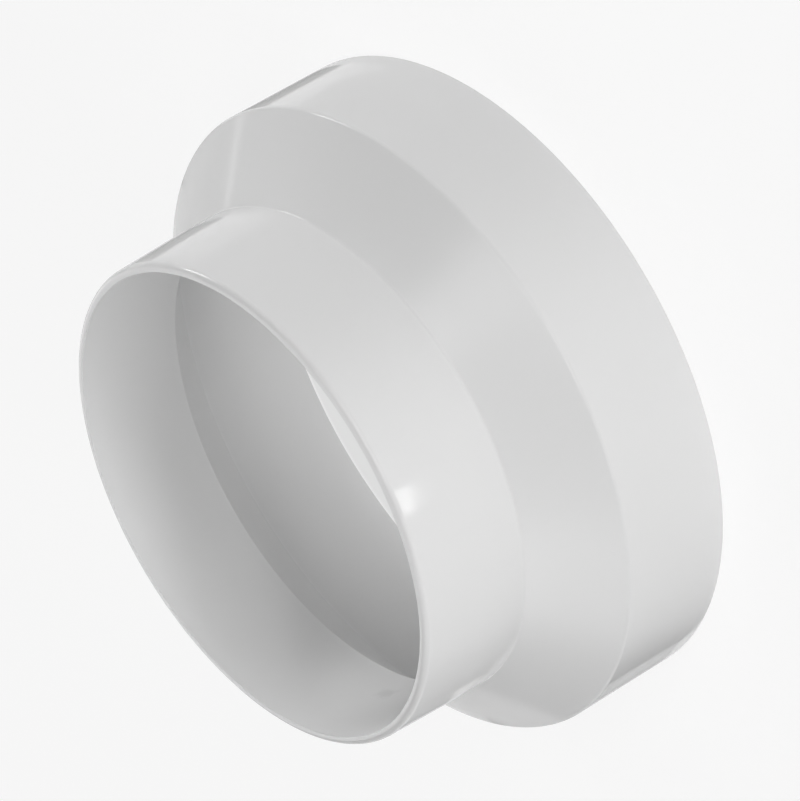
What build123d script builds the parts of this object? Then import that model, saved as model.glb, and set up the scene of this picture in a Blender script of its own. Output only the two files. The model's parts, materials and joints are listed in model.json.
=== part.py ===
from build123d import *
import os

# Round duct reducer, moulded in one piece: a spigot for a 100 mm duct, a conical
# shoulder and a socket for a 125 mm duct. It stands on the socket's rim, with its
# axis along Z and the origin at the middle of that rim.

# Driving dimensions, in millimetres
spigot_diameter = 100.0  # outside of the small end at its seat, which fits inside its duct
socket_bore = 125.2      # inside of the large end, which slides over its duct
wall = 1.8               # one thickness from rim to rim, measured square to the axis
spigot_length = 23.5     # from the shoulder to the small rim
seat_length = 8.0        # straight part of the spigot, next to the shoulder
tip_taper = 0.55         # what the spigot's radius loses from its seat to the small rim
shoulder_height = 12.65  # along the axis
socket_length = 23.2     # from the large rim to the shoulder
bore_lift = 0.3          # the inside bends this much nearer to the small rim than the outside
crown_radius = 1.0       # round of the bend between shoulder and socket, outside
crown_inside = 0.5       # hollow of the same bend, inside
root_radius = 0.6        # hollow of the bend between spigot and shoulder, outside
lead_in_radius = 1.0     # round of the small rim's outer edge
edge_ease = 0.25         # bevel of the edges that are only broken

spigot_radius = spigot_diameter / 2
tip_radius = spigot_radius - tip_taper
socket_radius = socket_bore / 2 + wall
shoulder_top = socket_length + shoulder_height
height = shoulder_top + spigot_length

# Corners of half the section as (radius, height), up the outside and down the inside
large_rim_outside = (socket_radius, 0)
crown = (socket_radius, socket_length)
root = (spigot_radius, shoulder_top)
seat_end = (spigot_radius, shoulder_top + seat_length)
small_rim_outside = (tip_radius, height)
small_rim_inside = (tip_radius - wall, height)
bore_end = (spigot_radius - wall, shoulder_top + bore_lift)
crown_hollow = (socket_bore / 2, socket_length + bore_lift)
large_rim_inside = (socket_bore / 2, 0)

outside = [large_rim_outside, crown, root, seat_end, small_rim_outside]
inside = [small_rim_inside, bore_end, crown_hollow, large_rim_inside]
rounded_corners = {
    crown: crown_radius,
    root: root_radius,
    small_rim_outside: lead_in_radius,
    crown_hollow: crown_inside,
}
broken_corners = [large_rim_outside, small_rim_inside, bore_end, large_rim_inside]

with BuildPart() as reducer:
    with BuildSketch(Plane.XZ) as section:
        with BuildLine():
            Polyline(*outside, *inside, close=True)
        make_face()
        for corner, radius in rounded_corners.items():
            fillet(section.vertices().sort_by_distance(corner)[0], radius)
        for corner in broken_corners:
            chamfer(section.vertices().sort_by_distance(corner)[0], edge_ease)
    revolve(axis=Axis.Z)

reducer.part.label = "reducer"

os.makedirs("parts", exist_ok=True)
export_step(reducer.part, "parts/reducer.step")
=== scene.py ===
"""Looks of a round duct reducer: one moulded shell of white plastic in a plain studio."""
import json
import math

import bmesh
import bpy
from bpy.props import FloatProperty, FloatVectorProperty, IntProperty, PointerProperty
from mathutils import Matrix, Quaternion, Vector


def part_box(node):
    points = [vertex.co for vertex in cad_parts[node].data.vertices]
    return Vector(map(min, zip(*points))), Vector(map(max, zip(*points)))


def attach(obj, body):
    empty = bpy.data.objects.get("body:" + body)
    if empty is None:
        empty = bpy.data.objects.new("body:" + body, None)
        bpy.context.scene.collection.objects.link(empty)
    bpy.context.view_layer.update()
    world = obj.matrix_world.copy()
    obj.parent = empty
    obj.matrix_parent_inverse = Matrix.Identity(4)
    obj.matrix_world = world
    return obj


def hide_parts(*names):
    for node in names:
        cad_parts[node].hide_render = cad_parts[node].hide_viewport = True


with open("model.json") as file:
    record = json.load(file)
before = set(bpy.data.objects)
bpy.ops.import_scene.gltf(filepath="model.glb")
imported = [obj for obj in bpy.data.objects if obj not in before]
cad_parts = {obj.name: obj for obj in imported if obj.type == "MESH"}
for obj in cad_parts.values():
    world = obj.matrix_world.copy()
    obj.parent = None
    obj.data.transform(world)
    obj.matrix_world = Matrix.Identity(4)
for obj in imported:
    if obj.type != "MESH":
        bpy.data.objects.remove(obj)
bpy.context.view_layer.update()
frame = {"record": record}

bl_info = {
    "name": "Duct Reducer",
    "version": (1, 0, 0),
    "blender": (4, 5, 0),
    "location": "View3D > Sidebar > Reducer",
    "description": "Builds a moulded duct reducer, its white plastic and a plain studio round it",
    "category": "Add Mesh",
}

MILLIMETRE = 0.001
NODE = "reducer"
BODY = "root"

# Tolerances of the mesh, in metres
MERGE_REACH = 1e-7
RING_REACH = 1e-6

# Skin of the plastic. The scales are those of its patterns in object space.
PLASTIC_IOR = 1.5
CLOUD_SCALE = 38.0
GRAIN_SCALE = 2600.0
WAVE_SCALE = 95.0
SPECK_SCALE = 95.0
SPECK_FREE_SHARE = 0.9  # of the cells that a speck may sit in
SPECK_SIZE = 0.016  # as a share of a cell
BUMP_STRENGTH = 0.15
BUMP_DEPTH = 0.02 * MILLIMETRE

# The scuff in the bore: its middle, the scale and depth of its ragged edge, and where it fades
SCUFF_PLACE = (-0.0437, 0.0204, 0.0424)
SCUFF_SCALE = 520.0
SCUFF_RAGGED = 2.0 * MILLIMETRE
SCUFF_FADE = (0.2 * MILLIMETRE, 2.8 * MILLIMETRE)

# The floor: half its side in metres, its paint as a bounce light and as seen, and the
# width over which its painted shade inside the object's footprint fades out under the wall
FLOOR_REACH = 8.0
FLOOR_PAINT = 0.85
SHADOW_PAINT = 0.2
PAINTED_SHADE_EDGE = 3.0 * MILLIMETRE

# The room in reflections brightens towards one heading, between two cosines
ROOM_HEADING = (0.35, 0.94, 0.0)
ROOM_EDGE = (0.38, 0.95)

# The camera's frame in millimetres, and how near and far it sees in metres
SENSOR_WIDTH = 36.0
CLIP_RANGE = (0.01, 100.0)

# Lamps that look at the object from one distance, in metres. Each has its azimuth and elevation
# in degrees, its width and height in metres, its power in watts, and whether it shines in
# reflections. Azimuth 0 is the camera's side and 90 is +X.
LAMP_DISTANCE = 1.5
LAMPS = {
    "key": (0, 45, 1.0, 1.0, 6.4, True),
    "left_key": (-30, 45, 1.0, 1.0, 1.0, False),
    "left_back": (-120, 45, 1.0, 1.0, 3.6, False),
    "back": (170, 22, 0.95, 1.1, 4.3, True),
    "right_fill": (60, 22, 1.0, 1.0, 0.9, False),
    "low_left": (-60, 8, 0.7, 0.3, 6.3, False),
    "low_front": (30, 8, 0.7, 0.3, 4.1, False),
    "low_right": (120, 8, 0.7, 0.3, 5.6, False),
    "right_spot": (105, 17, 0.4, 0.25, 2.7, True),
    "left_spot": (-30, 20, 0.2, 0.2, 2.4, False),
    "streak_spot": (141, 10, 0.07, 0.35, 0.045, True),
    "cone_spot": (40, 63, 0.4, 0.4, 0.8, False),
}

# Round lamps that lie on the floor: X and Y in millimetres, width in metres, power in watts
TABLE_LAMP_HEIGHT = 0.3 * MILLIMETRE
TABLE_LAMPS = {
    "table_light": (0.0, 0.0, 2.0, 0.39),
    "inside_light": (14.0, 38.0, 0.03, 0.0008),
    "inside_right": (38.0, 20.0, 0.03, 0.0024),
}

# A row of small lamps on the floor at the foot of the socket's inside wall, by their turns
# from +X in degrees. They reach a little under the wall.
FOOT_TURNS = (47, 62, 77, 92, 107, 122, 137)
FOOT_POWER = 0.00015
FOOT_WIDTH = 16.0 * MILLIMETRE
FOOT_DEPTH = 9.0 * MILLIMETRE
FOOT_UNDER_WALL = 0.4 * MILLIMETRE
FOOT_HEIGHT = 0.05 * MILLIMETRE

# A soft beam inside the socket, between two points in millimetres
BEAM_FROM = (30.0, -25.0, 2.0)
BEAM_TO = (-41.6, 24.0, 36.0)
BEAM_POWER = 0.09
BEAM_ANGLE = math.radians(23)
BEAM_SOFTNESS = 6.0 * MILLIMETRE

# Round cards in the air that only show in reflections: azimuth and elevation in degrees, width
# in metres and brightness. They fade out between two shares of the width.
GLOW_FADE = (0.1, 0.5)
GLOW_SIDES = 64
GLOWS = {
    "left_glow": (-105, 42, 1.7, 1.1),
    "cone_glow": (35, 63, 0.9, 1.7),
    "top_glow": (180, 62, 1.7, 2.6),
}

# Cards on the floor that only show in reflections: the dark ones are painted shadow of the object on the
# floor, the bright ones painted gleams and a painted glint. Each has its outline in millimetres, its
# brightness and, where it fades out, the two points of the floor between which it does.
CARD_HEIGHT = 0.5 * MILLIMETRE
# Painted shadow: a dark card where the object's shadow lies on the floor behind the +X side, seen in
# reflections
RIGHT_PAINTED_SHADOW = [
    (64.8, -11.5), (80, 19), (80, 43), (85, 51), (105, 81),
    (76, 100), (64, 68), (62, 58), (71, 32), (65, -1)]
# Painted gleam: a bright card beside the dark one, which lightens the +X edge in reflections
RIGHT_PAINTED_GLEAM = [
    (64.8, -12), (80.3, 18.5), (80.3, 43), (85.3, 51), (105.3, 81),
    (141, 33), (98, 9), (73, -9), (61, -29)]
# Painted gleams: bright strips that lighten the -X edges in reflections
LEFT_PAINTED_GLEAM = [(-64.8, -12.5), (-81, 16.3), (-72, 32), (-65.2, 0)]
LEFT_FAR_PAINTED_GLEAM = [(-69, 77), (-91.7, 65.3), (-103.7, 84.5), (-101, 92), (-76, 105)]
# Painted shadow: black and grey cards where the object's shadow lies on the floor on the -X side, seen in
# reflections
LEFT_PAINTED_SHADOW = [(-64.5, -13), (-81, 16), (-86, 25), (-95, 8), (-97, -20), (-78, -42), (-52, -42)]
LEFT_FAR_PAINTED_SHADOW = [
    (-86.3, 25.5), (-79, 44), (-82, 53), (-92, 65), (-104, 84),
    (-160, 50), (-160, -15), (-97.3, -20), (-95.3, 8)]
# Painted glint: a bright patch on the floor in front, which shows as a glint on the spigot near its rim
PAINTED_GLINT = [(-84.5, -141), (-60.5, -153.5), (-62.5, -158), (-87, -145)]
CARDS = {
    "right_painted_shadow": (RIGHT_PAINTED_SHADOW, 0.31, None),
    "right_painted_gleam": (RIGHT_PAINTED_GLEAM, 1.0, None),
    "left_painted_gleam": (LEFT_PAINTED_GLEAM, 0.5, None),
    "left_far_painted_gleam": (LEFT_FAR_PAINTED_GLEAM, 0.4, None),
    "left_painted_shadow": (LEFT_PAINTED_SHADOW, 0.0, ((-61.0, -7.0), (-78.0, -36.5))),
    "left_far_painted_shadow": (LEFT_FAR_PAINTED_SHADOW, 0.3, ((-59.0, -3.3), (-80.0, -39.8))),
    "painted_glint": (PAINTED_GLINT, 12.0, None),
}

node_low, node_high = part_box(NODE)
mounts = {mount["name"]: mount for mount in frame["record"]["mounts"]}


def mount_radius(name):
    """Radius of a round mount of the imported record, in metres."""
    return mounts[name]["dims"]["r_mm"] * MILLIMETRE


class ShellSizes(bpy.types.PropertyGroup):
    """Sizes of the moulded shell."""

    spigot_radius: FloatProperty(
        name="Spigot Radius", description="Outside of the small end at its seat",
        default=mount_radius("spigot"), unit="LENGTH", precision=5)
    tip_taper: FloatProperty(
        name="Tip Taper", description="What the spigot's radius loses from its seat to the small rim",
        default=0.55 * MILLIMETRE, unit="LENGTH", precision=5)
    seat_length: FloatProperty(
        name="Seat Length", description="Straight part of the spigot, next to the shoulder",
        default=8.0 * MILLIMETRE, unit="LENGTH", precision=5)
    socket_bore_radius: FloatProperty(
        name="Socket Bore Radius", description="Inside of the large end",
        default=mount_radius("socket"), unit="LENGTH", precision=5)
    wall: FloatProperty(
        name="Wall", description="Thickness from rim to rim, measured square to the axis",
        default=node_high.x - mount_radius("socket"), unit="LENGTH", precision=5)
    height: FloatProperty(
        name="Height", description="From the large rim to the small rim",
        default=node_high.z, unit="LENGTH", precision=5)
    socket_length: FloatProperty(
        name="Socket Length", description="From the large rim to the shoulder",
        default=23.2 * MILLIMETRE, unit="LENGTH", precision=5)
    shoulder_height: FloatProperty(
        name="Shoulder Height", description="Of the cone, along the axis",
        default=12.65 * MILLIMETRE, unit="LENGTH", precision=5)
    bore_lift: FloatProperty(
        name="Bore Lift", description="How much higher the inside bends than the outside",
        default=0.3 * MILLIMETRE, unit="LENGTH", precision=5)
    crown_radius: FloatProperty(
        name="Crown Radius", description="Round of the bend between shoulder and socket, outside",
        default=1.0 * MILLIMETRE, unit="LENGTH", precision=5)
    crown_inside: FloatProperty(
        name="Crown Inside", description="Hollow of the same bend, inside",
        default=0.5 * MILLIMETRE, unit="LENGTH", precision=5)
    root_radius: FloatProperty(
        name="Root Radius", description="Hollow of the bend between spigot and shoulder, outside",
        default=0.6 * MILLIMETRE, unit="LENGTH", precision=5)
    seat_blend: FloatProperty(
        name="Seat Blend", description="Wide round where the seat runs into the taper",
        default=100.0 * MILLIMETRE, unit="LENGTH", precision=5)
    lead_in_radius: FloatProperty(
        name="Lead-in Radius", description="Round of the small rim's outer edge",
        default=1.2 * MILLIMETRE, unit="LENGTH", precision=5)
    edge_ease: FloatProperty(
        name="Edge Ease", description="Round of the broken edges, half as wide inside the small rim",
        default=0.25 * MILLIMETRE, unit="LENGTH", precision=5)
    turn_steps: IntProperty(
        name="Turn Steps", description="Faces round the axis", default=288, min=16)
    round_segments: IntProperty(
        name="Round Segments", description="Faces across each rounded edge", default=8, min=1)


class PlasticFinish(bpy.types.PropertyGroup):
    """Colour and gloss of the plastic."""

    colour: FloatVectorProperty(
        name="Colour", description="White of the plastic", subtype="COLOR", size=4,
        min=0.0, max=1.0, default=(0.8, 0.8, 0.8, 1.0))
    outside_roughness: FloatProperty(
        name="Outside Roughness", description="Of the polished outside and the rims", subtype="FACTOR",
        min=0.0, max=1.0, default=0.11)
    inside_roughness: FloatProperty(
        name="Inside Roughness", description="Of the duller inside", subtype="FACTOR",
        min=0.0, max=1.0, default=0.3)


class StudioSetup(bpy.types.PropertyGroup):
    """Camera and background."""

    backdrop: FloatVectorProperty(
        name="Backdrop", description="Pale colour behind the object", subtype="COLOR", size=4,
        min=0.0, max=1.0, default=(0.939, 0.939, 0.939, 1.0))
    floor_glow: FloatProperty(
        name="Floor Glow", description="Share of the backdrop's white that the floor shows in any light",
        subtype="FACTOR", min=0.0, max=1.0, default=0.866)
    # Painted shade: the floor inside the object's footprint shows a lower share of the white, in place of
    # its shadow there
    painted_shade_glow: FloatProperty(
        name="Inside Glow", description="The same share on the floor inside the object, which is shaded",
        subtype="FACTOR", min=0.0, max=1.0, default=0.665)
    floor_gloss_share: FloatProperty(
        name="Floor Gloss Share", description="How much of that white shows in reflections of the floor",
        subtype="FACTOR", min=0.0, max=1.0, default=0.8)
    room_gloss: FloatProperty(
        name="Room Gloss", description="How bright the room behind the object is in reflections",
        subtype="FACTOR", min=0.0, max=1.0, default=0.8)
    focal_length: FloatProperty(
        name="Focal Length", description="Of a 36 mm frame", default=282.0, unit="CAMERA")
    distance: FloatProperty(
        name="Distance", description="From the camera to the aim", default=1.1534, unit="LENGTH")
    elevation: FloatProperty(
        name="Elevation", description="Of the camera above the floor", subtype="ANGLE",
        default=math.radians(30.04))
    roll: FloatProperty(
        name="Roll", description="Turn of the picture about the line of sight", subtype="ANGLE",
        default=math.radians(-120.155))
    aim: FloatVectorProperty(
        name="Aim", description="Point in the middle of the picture", subtype="XYZ", size=3,
        default=(0.00286, -0.017093, 0.029794), precision=6)


def section_corners(sizes):
    """Corners of half the section as (radius, height, edge round), up the outside and down the inside."""
    socket_radius = sizes.socket_bore_radius + sizes.wall
    tip_radius = sizes.spigot_radius - sizes.tip_taper
    shoulder_top = sizes.socket_length + sizes.shoulder_height
    return [
        (socket_radius, 0.0, sizes.edge_ease),
        (socket_radius, sizes.socket_length, sizes.crown_radius),
        (sizes.spigot_radius, shoulder_top, sizes.root_radius),
        (sizes.spigot_radius, shoulder_top + sizes.seat_length, sizes.seat_blend),
        (tip_radius, sizes.height, sizes.lead_in_radius),
        (tip_radius - sizes.wall, sizes.height, sizes.edge_ease / 2),
        (sizes.spigot_radius - sizes.wall, shoulder_top + sizes.bore_lift, sizes.edge_ease),
        (sizes.socket_bore_radius, sizes.socket_length + sizes.bore_lift, sizes.crown_inside),
        (sizes.socket_bore_radius, 0.0, sizes.edge_ease),
    ]


def turn_at(before, corner, after):
    """How far the section turns at a corner, in radians."""
    arriving = Vector(corner[:2]) - Vector(before[:2])
    leaving = Vector(after[:2]) - Vector(corner[:2])
    return arriving.angle(leaving)


def ring_edges(shell, radius, height):
    """Edges that run round the axis at one radius and height."""
    def on_ring(vertex):
        out = math.hypot(vertex.co.x, vertex.co.y)
        return abs(out - radius) < RING_REACH and abs(vertex.co.z - height) < RING_REACH
    return [edge for edge in shell.edges if all(on_ring(vertex) for vertex in edge.verts)]


def faces_inwards(face, slope=0.3):
    """True for a face of the inside wall, which looks to the axis."""
    middle = face.calc_center_median()
    radial = Vector((middle.x, middle.y, 0.0)).normalized()
    return face.normal.dot(radial) < -slope


def spin_shell(sizes):
    """The moulded wall: its section turned about the axis, with every edge rounded."""
    shell = bmesh.new()
    corners = section_corners(sizes)
    section = [shell.verts.new((radius, 0.0, height)) for radius, height, _ in corners]
    for start, end in zip(section, section[1:] + section[:1]):
        shell.edges.new((start, end))
    bmesh.ops.spin(
        shell, geom=shell.verts[:] + shell.edges[:], cent=(0, 0, 0), axis=(0, 0, 1),
        angle=math.tau, steps=sizes.turn_steps, use_merge=True, use_duplicate=False)
    bmesh.ops.remove_doubles(shell, verts=shell.verts[:], dist=MERGE_REACH)
    bmesh.ops.recalc_face_normals(shell, faces=shell.faces[:])
    for before, corner, after in zip(corners[-1:] + corners[:-1], corners, corners[1:] + corners[:1]):
        radius, height, edge_round = corner
        setback = edge_round * math.tan(turn_at(before, corner, after) / 2)
        bmesh.ops.bevel(
            shell, geom=ring_edges(shell, radius, height), offset=setback,
            offset_type="OFFSET", affect="EDGES", segments=sizes.round_segments, profile=0.5,
            material=-1, clamp_overlap=False)
    shell.normal_update()
    for face in shell.faces:
        face.smooth = True
        face.material_index = int(faces_inwards(face))
    return shell


def link_object(name, data):
    """A new object in the scene from a mesh, lamp or camera."""
    thing = bpy.data.objects.new(name, data)
    bpy.context.scene.collection.objects.link(thing)
    return thing


def mesh_object(name, shape):
    """A new object at the origin from a bmesh."""
    mesh = bpy.data.meshes.new(name)
    shape.to_mesh(mesh)
    shape.free()
    return link_object(name, mesh)


def wire(tree, socket, value):
    """Feeds an input socket from another socket, or sets it to a value."""
    if isinstance(value, bpy.types.NodeSocket):
        tree.links.new(value, socket)
    else:
        socket.default_value = value


def add_node(tree, kind, inputs=None, **settings):
    """A new node with its settings, then its inputs by their names or places."""
    node = tree.nodes.new(kind)
    for name, value in settings.items():
        setattr(node, name, value)
    for name, value in (inputs or {}).items():
        wire(tree, node.inputs[name], value)
    return node


def math_node(tree, operation, *values):
    """One operation on sockets or numbers, as its output socket."""
    return add_node(tree, "ShaderNodeMath", dict(enumerate(values)), operation=operation).outputs[0]


def measure_node(tree, operation, *vectors):
    """A number from one or two vectors, such as a length, as its output socket."""
    node = add_node(tree, "ShaderNodeVectorMath", dict(enumerate(vectors)), operation=operation)
    return node.outputs["Value"]


def scaled_colour(tree, colour, factor):
    """A colour times a number, as its output socket."""
    node = add_node(tree, "ShaderNodeVectorMath", operation="SCALE")
    wire(tree, node.inputs["Vector"], colour)
    wire(tree, node.inputs["Scale"], factor)
    return node.outputs["Vector"]


def smooth_step(tree, value, start, end, low=0.0, high=1.0):
    """A value that goes smoothly from low to high between start and end, as its output socket."""
    ends = {"Value": value, "From Min": start, "From Max": end, "To Min": low, "To Max": high}
    return add_node(tree, "ShaderNodeMapRange", ends, interpolation_type="SMOOTHSTEP").outputs[0]


def noise_at(tree, position, scale, detail):
    """A noise pattern read at a position, as its factor socket."""
    noise = add_node(tree, "ShaderNodeTexNoise", {"Vector": position, "Scale": scale, "Detail": detail})
    return noise.outputs["Fac"]


def node_group(name, inputs, outputs):
    """A shader node group with its sockets, as its tree and the sockets inside it.

    Inputs map names to (kind, default), where a default may be None. Outputs map names to kinds.
    """
    tree = bpy.data.node_groups.new(name, "ShaderNodeTree")
    for socket_name, (kind, default) in inputs.items():
        socket = tree.interface.new_socket(socket_name, in_out="INPUT", socket_type="NodeSocket" + kind)
        if default is not None:
            socket.default_value = default
    for socket_name, kind in outputs.items():
        tree.interface.new_socket(socket_name, in_out="OUTPUT", socket_type="NodeSocket" + kind)
    given = add_node(tree, "NodeGroupInput").outputs
    result = add_node(tree, "NodeGroupOutput").inputs
    return tree, given, result


def moulded_skin():
    """Node group for the skin of moulded plastic: cloudy shade, fine grain, slow waves and a few specks."""
    tree, given, result = node_group(
        "moulded_skin",
        {
            "Position": ("Vector", None), "Colour": ("Color", (0.8, 0.8, 0.8, 1.0)),
            "Clouds": ("Float", 0.03), "Specks": ("Float", 0.1), "Gloss": ("Float", 0.2),
            "Gloss Spread": ("Float", 0.05), "Grain": ("Float", 0.3),
        },
        {"Colour": "Color", "Roughness": "Float", "Height": "Float"})
    position = given["Position"]
    clouds = noise_at(tree, position, CLOUD_SCALE, detail=3.0)
    grain = noise_at(tree, position, GRAIN_SCALE, detail=2.0)
    waves = noise_at(tree, position, WAVE_SCALE, detail=1.0)

    # A speck sits in the middle of a few of the cells
    cells = add_node(tree, "ShaderNodeTexVoronoi", {"Vector": position, "Scale": SPECK_SCALE}).outputs
    chance = add_node(tree, "ShaderNodeSeparateColor", {0: cells["Color"]}).outputs[0]
    chosen = math_node(tree, "GREATER_THAN", chance, SPECK_FREE_SHARE)
    near = math_node(tree, "LESS_THAN", cells["Distance"], SPECK_SIZE)
    speck = math_node(tree, "MULTIPLY", chosen, near)

    cloud_rise = math_node(tree, "SUBTRACT", clouds, 0.5)
    cloud_shade = math_node(tree, "MULTIPLY_ADD", cloud_rise, given["Clouds"], 1.0)
    speck_shade = math_node(tree, "MULTIPLY", speck, given["Specks"])
    shade = math_node(tree, "SUBTRACT", cloud_shade, speck_shade)
    wire(tree, result["Colour"], scaled_colour(tree, given["Colour"], shade))

    uneven = math_node(tree, "SUBTRACT", math_node(tree, "ADD", clouds, grain), 1.0)
    gloss = math_node(tree, "MULTIPLY_ADD", uneven, given["Gloss Spread"], given["Gloss"])
    wire(tree, result["Roughness"], gloss)
    wire(tree, result["Height"], math_node(tree, "MULTIPLY_ADD", grain, given["Grain"], waves))
    return tree


def scuff_mark():
    """Node group for one faint scuff: dark in the middle, ragged towards its edge."""
    tree, given, result = node_group(
        "scuff_mark",
        {
            "Position": ("Vector", None), "Place": ("Vector", SCUFF_PLACE),
            "Colour": ("Color", (0.8, 0.8, 0.8, 1.0)), "Depth": ("Float", 0.1),
        },
        {"Colour": "Color"})
    away = measure_node(tree, "DISTANCE", given["Position"], given["Place"])
    ragged = noise_at(tree, given["Position"], SCUFF_SCALE, detail=2.0)
    rough_edge = math_node(tree, "MULTIPLY_ADD", ragged, 2 * SCUFF_RAGGED, -SCUFF_RAGGED)
    reach = math_node(tree, "ADD", away, rough_edge)
    fade = smooth_step(tree, reach, *SCUFF_FADE, 1.0, 0.0)
    loss = math_node(tree, "MULTIPLY", fade, given["Depth"])
    shade = math_node(tree, "SUBTRACT", 1.0, loss)
    wire(tree, result["Colour"], scaled_colour(tree, given["Colour"], shade))
    return tree


def plastic_material(name, skin, colour, roughness, clouds, grain, scuff=None):
    """White plastic with the moulded skin, at one gloss, and the scuff where one is given."""
    material = bpy.data.materials.new(name)
    material.use_nodes = True
    tree = material.node_tree
    shader = tree.nodes["Principled BSDF"].inputs
    shader["IOR"].default_value = PLASTIC_IOR
    place = add_node(tree, "ShaderNodeTexCoord").outputs["Object"]
    surface = add_node(
        tree, "ShaderNodeGroup",
        {"Position": place, "Colour": colour, "Gloss": roughness, "Clouds": clouds, "Grain": grain},
        node_tree=skin).outputs
    shown = surface["Colour"]
    if scuff:
        mark = add_node(tree, "ShaderNodeGroup", {"Position": place, "Colour": shown}, node_tree=scuff)
        shown = mark.outputs["Colour"]
    bump = add_node(
        tree, "ShaderNodeBump",
        {"Strength": BUMP_STRENGTH, "Distance": BUMP_DEPTH, "Height": surface["Height"]})
    wire(tree, shader["Base Color"], shown)
    wire(tree, shader["Roughness"], surface["Roughness"])
    wire(tree, shader["Normal"], bump.outputs["Normal"])
    return material


class REDUCER_OT_shell(bpy.types.Operator):
    """Builds the moulded shell and its plastic"""

    bl_idname = "reducer.shell"
    bl_label = "Moulded Shell"

    def execute(self, context):
        piece = mesh_object("reducer_shell", spin_shell(context.scene.reducer_sizes))
        weighted = piece.modifiers.new("even_normals", "WEIGHTED_NORMAL")
        weighted.weight = 100
        weighted.keep_sharp = False
        finish = context.scene.reducer_finish
        skin = moulded_skin()
        piece.data.materials.append(plastic_material(
            "polished_plastic", skin, finish.colour, finish.outside_roughness, clouds=0.02, grain=0.05))
        piece.data.materials.append(plastic_material(
            "core_plastic", skin, finish.colour, finish.inside_roughness, clouds=0.04, grain=0.3,
            scuff=scuff_mark()))
        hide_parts(NODE)
        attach(piece, BODY)
        return {"FINISHED"}


def stage_material(name):
    """A new material with nothing but its output, as the material, its tree and its surface socket."""
    material = bpy.data.materials.new(name)
    material.use_nodes = True
    tree = material.node_tree
    tree.nodes.clear()
    return material, tree, add_node(tree, "ShaderNodeOutputMaterial").inputs["Surface"]


def floor_material(studio):
    """Pale floor that shows as the backdrop's white and keeps a soft shadow of the object, with painted
    shade inside its footprint.
    """
    material, tree, surface = stage_material("pale_floor")
    path = add_node(tree, "ShaderNodeLightPath").outputs
    looked_at = math_node(tree, "MAXIMUM", path["Is Camera Ray"], path["Is Transmission Ray"])
    mirrored = path["Is Glossy Ray"]
    shown = math_node(tree, "MULTIPLY_ADD", mirrored, studio.floor_gloss_share, looked_at)
    place = add_node(tree, "ShaderNodeTexCoord").outputs["Object"]
    reach = measure_node(tree, "LENGTH", place)
    # Painted shade: the floor glows less inside the object's footprint, in place of its shadow there
    share = smooth_step(
        tree, reach, node_high.x - PAINTED_SHADE_EDGE, node_high.x, studio.painted_shade_glow, studio.floor_glow)
    strength = math_node(tree, "MULTIPLY", shown, share)
    glow = add_node(tree, "ShaderNodeEmission", {"Color": studio.backdrop, "Strength": strength})
    seen = math_node(tree, "MAXIMUM", looked_at, mirrored)
    pale = math_node(tree, "MULTIPLY_ADD", seen, SHADOW_PAINT - FLOOR_PAINT, FLOOR_PAINT)
    paint = add_node(tree, "ShaderNodeBsdfDiffuse", {"Color": pale})
    both = add_node(tree, "ShaderNodeAddShader", {0: glow.outputs[0], 1: paint.outputs[0]})
    wire(tree, surface, both.outputs[0])
    return material


def add_floor(studio):
    """The floor that the object stands on."""
    sheet = bmesh.new()
    bmesh.ops.create_grid(sheet, x_segments=1, y_segments=1, size=FLOOR_REACH)
    floor = mesh_object("floor", sheet)
    floor.data.materials.append(floor_material(studio))


def add_world(studio):
    """Backdrop above the horizon: pale where it is seen, and bright behind the object in reflections."""
    world = bpy.data.worlds.new("studio")
    bpy.context.scene.world = world
    world.use_nodes = True
    tree = world.node_tree
    tree.nodes.clear()
    path = add_node(tree, "ShaderNodeLightPath").outputs
    seen = math_node(tree, "MAXIMUM", path["Is Camera Ray"], path["Is Transmission Ray"])
    direction = add_node(tree, "ShaderNodeTexCoord").outputs["Generated"]
    facing = measure_node(tree, "DOT_PRODUCT", direction, ROOM_HEADING)
    behind = smooth_step(tree, facing, *ROOM_EDGE, 0.0, studio.room_gloss)
    mirrored = math_node(tree, "MULTIPLY", path["Is Glossy Ray"], behind)
    strength = math_node(tree, "MAXIMUM", seen, mirrored)
    shown = add_node(tree, "ShaderNodeBackground", {"Color": studio.backdrop, "Strength": strength})
    add_node(tree, "ShaderNodeOutputWorld", {"Surface": shown.outputs[0]})


def aim_at_object(thing, azimuth, elevation):
    """Puts a lamp or card at the lamps' distance, turned to the object."""
    turn = math.radians(azimuth)
    rise = math.radians(elevation)
    out = Vector((math.sin(turn) * math.cos(rise), -math.cos(turn) * math.cos(rise), math.sin(rise)))
    thing.location = Vector((0, 0, node_high.z / 2)) + out * LAMP_DISTANCE
    thing.rotation_mode = "QUATERNION"
    thing.rotation_quaternion = (-out).to_track_quat("-Z", "Y")


def new_lamp(name, kind, power, shine, **shape):
    """A lamp out of the camera's sight. Without shine, it makes no highlight."""
    data = bpy.data.lights.new(name, kind)
    data.energy = power
    for setting, value in shape.items():
        setattr(data, setting, value)
    lamp = link_object(name, data)
    lamp.visible_camera = False
    lamp.visible_glossy = shine
    return lamp


def add_lamp(name, azimuth, elevation, width, height, power, shine):
    """A soft lamp that looks at the object."""
    lamp = new_lamp(name, "AREA", power, shine, shape="RECTANGLE", size=width, size_y=height)
    aim_at_object(lamp, azimuth, elevation)


def add_table_light(name, across, along, width, power):
    """A round lamp that lies on the floor and shines up."""
    lamp = new_lamp(name, "AREA", power, False, shape="DISK", size=width)
    lamp.location = (across * MILLIMETRE, along * MILLIMETRE, TABLE_LAMP_HEIGHT)
    lamp.rotation_euler = (math.pi, 0.0, 0.0)


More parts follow.
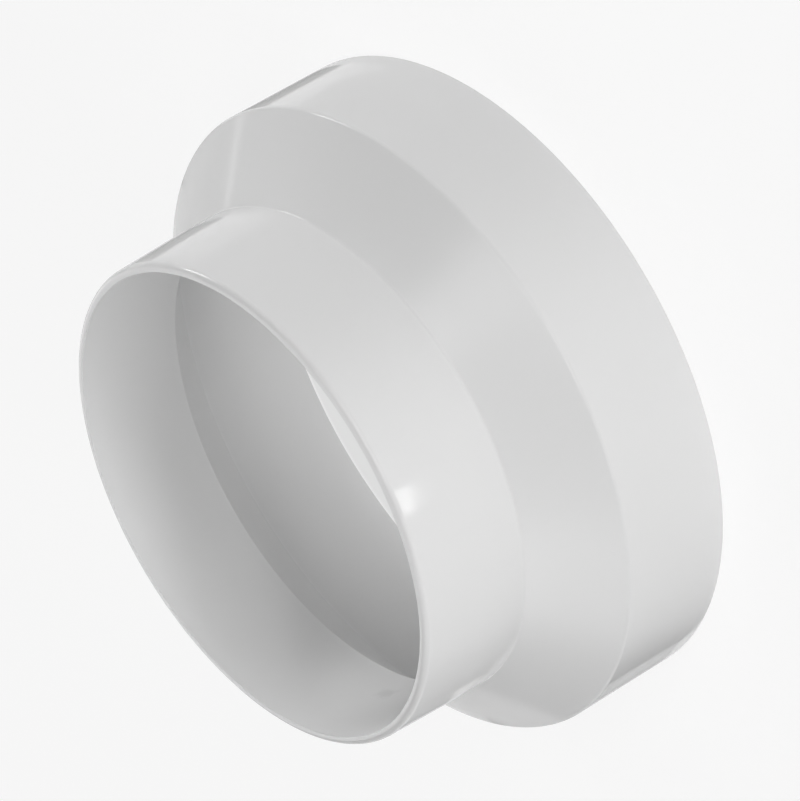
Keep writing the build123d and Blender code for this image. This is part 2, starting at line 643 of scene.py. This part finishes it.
def add_foot_light(turn):
    """A small lamp that lies at the foot of the socket's inside wall and shines up."""
    lamp = new_lamp(
        "foot_light", "AREA", FOOT_POWER, False, shape="RECTANGLE", size=FOOT_DEPTH, size_y=FOOT_WIDTH)
    angle = math.radians(turn)
    out = mount_radius("socket") - FOOT_DEPTH / 2 + FOOT_UNDER_WALL
    lamp.location = (out * math.cos(angle), out * math.sin(angle), FOOT_HEIGHT)
    lamp.rotation_euler = (math.pi, 0.0, angle)


def add_beam():
    """A soft beam from inside the socket to the bore's lower end."""
    lamp = new_lamp(
        "bore_beam", "SPOT", BEAM_POWER, False, spot_size=BEAM_ANGLE, spot_blend=1.0,
        shadow_soft_size=BEAM_SOFTNESS)
    lamp.location = Vector(BEAM_FROM) * MILLIMETRE
    lamp.rotation_mode = "QUATERNION"
    lamp.rotation_quaternion = (Vector(BEAM_TO) - Vector(BEAM_FROM)).to_track_quat("-Z", "Y")


def card_material(name, glow, fade=None):
    """Card of one brightness. A fade is a function that adds nodes and returns how clear the card is."""
    material, tree, surface = stage_material(name)
    shown = add_node(tree, "ShaderNodeEmission", {"Strength": glow}).outputs[0]
    if fade:
        place = add_node(tree, "ShaderNodeTexCoord").outputs["Object"]
        clear = add_node(tree, "ShaderNodeBsdfTransparent").outputs[0]
        shown = add_node(
            tree, "ShaderNodeMixShader", {"Fac": fade(tree, place), 1: shown, 2: clear}).outputs[0]
    wire(tree, surface, shown)
    return material


def fade_across(points):
    """Fade of a floor card from one point of the floor to another, in millimetres."""
    start, end = (Vector(point) * MILLIMETRE for point in points)
    heading = (end - start).normalized()

    def fade(tree, place):
        along = measure_node(tree, "DOT_PRODUCT", place, (*heading, 0.0))
        return smooth_step(tree, along, start.dot(heading), end.dot(heading))
    return fade


def fade_outwards(width):
    """Fade of a round card from near its middle to its edge."""
    def fade(tree, place):
        reach = measure_node(tree, "LENGTH", place)
        return smooth_step(tree, reach, *(share * width for share in GLOW_FADE))
    return fade


def reflection_only(card):
    """Keeps a card out of sight and out of the light, so that it shows in reflections alone."""
    card.visible_camera = False
    card.visible_diffuse = False
    card.visible_shadow = False


def add_card(name, outline, glow, fade_points):
    """A card on the floor beside the object, which paints a shadow, a gleam or a glint into reflections."""
    sheet = bmesh.new()
    corners = [sheet.verts.new((x * MILLIMETRE, y * MILLIMETRE, CARD_HEIGHT)) for x, y in outline]
    bmesh.ops.contextual_create(sheet, geom=corners)
    card = mesh_object(name, sheet)
    fade = fade_across(fade_points) if fade_points else None
    card.data.materials.append(card_material(name, glow, fade))
    reflection_only(card)


def add_glow(name, azimuth, elevation, width, glow):
    """A round card in the air with a soft edge, for a smooth gleam."""
    disc = bmesh.new()
    bmesh.ops.create_circle(disc, cap_ends=True, segments=GLOW_SIDES, radius=width / 2)
    card = mesh_object(name, disc)
    aim_at_object(card, azimuth, elevation)
    card.data.materials.append(card_material(name, glow, fade_outwards(width)))
    reflection_only(card)


def add_camera(studio):
    """The camera at the photograph's angle, rolled as the picture is."""
    data = bpy.data.cameras.new("camera")
    data.sensor_width = SENSOR_WIDTH
    data.lens = studio.focal_length
    data.clip_start, data.clip_end = CLIP_RANGE
    camera = link_object("camera", data)
    back = Vector((0.0, -math.cos(studio.elevation), math.sin(studio.elevation)))
    camera.location = Vector(studio.aim) + back * studio.distance
    camera.rotation_mode = "QUATERNION"
    upright = (-back).to_track_quat("-Z", "Y")
    camera.rotation_quaternion = upright @ Quaternion((0.0, 0.0, 1.0), studio.roll)
    bpy.context.scene.camera = camera


class REDUCER_OT_stage(bpy.types.Operator):
    """Sets the floor, the lamps and the camera"""

    bl_idname = "reducer.stage"
    bl_label = "Studio"

    def execute(self, context):
        studio = context.scene.reducer_studio
        add_floor(studio)
        add_world(studio)
        for name, values in LAMPS.items():
            add_lamp(name, *values)
        for name, values in TABLE_LAMPS.items():
            add_table_light(name, *values)
        for turn in FOOT_TURNS:
            add_foot_light(turn)
        add_beam()
        for name, values in CARDS.items():
            add_card(name, *values)
        for name, values in GLOWS.items():
            add_glow(name, *values)
        add_camera(studio)
        context.scene.view_settings.view_transform = "Standard"
        return {"FINISHED"}


class REDUCER_PT_panel(bpy.types.Panel):
    """Lists the values and the operators."""

    bl_idname = "REDUCER_PT_panel"
    bl_label = "Duct Reducer"
    bl_space_type = "VIEW_3D"
    bl_region_type = "UI"
    bl_category = "Reducer"

    def draw(self, context):
        for group_name, group in GROUPS.items():
            column = self.layout.column()
            for value_name in group.__annotations__:
                column.prop(getattr(context.scene, group_name), value_name)
        for operator in OPERATORS:
            self.layout.operator(operator.bl_idname)


GROUPS = {"reducer_sizes": ShellSizes, "reducer_finish": PlasticFinish, "reducer_studio": StudioSetup}
OPERATORS = (REDUCER_OT_shell, REDUCER_OT_stage)
CLASSES = (*GROUPS.values(), *OPERATORS, REDUCER_PT_panel)


def register():
    """Adds the classes and the groups of values to Blender."""
    for cls in CLASSES:
        bpy.utils.register_class(cls)
    for name, group in GROUPS.items():
        setattr(bpy.types.Scene, name, PointerProperty(type=group))


def unregister():
    """Takes them out again."""
    for name in GROUPS:
        delattr(bpy.types.Scene, name)
    for cls in reversed(CLASSES):
        bpy.utils.unregister_class(cls)


def main():
    """Builds the object and its studio."""
    register()
    bpy.ops.reducer.shell()
    bpy.ops.reducer.stage()


if __name__ == "__main__":
    main()
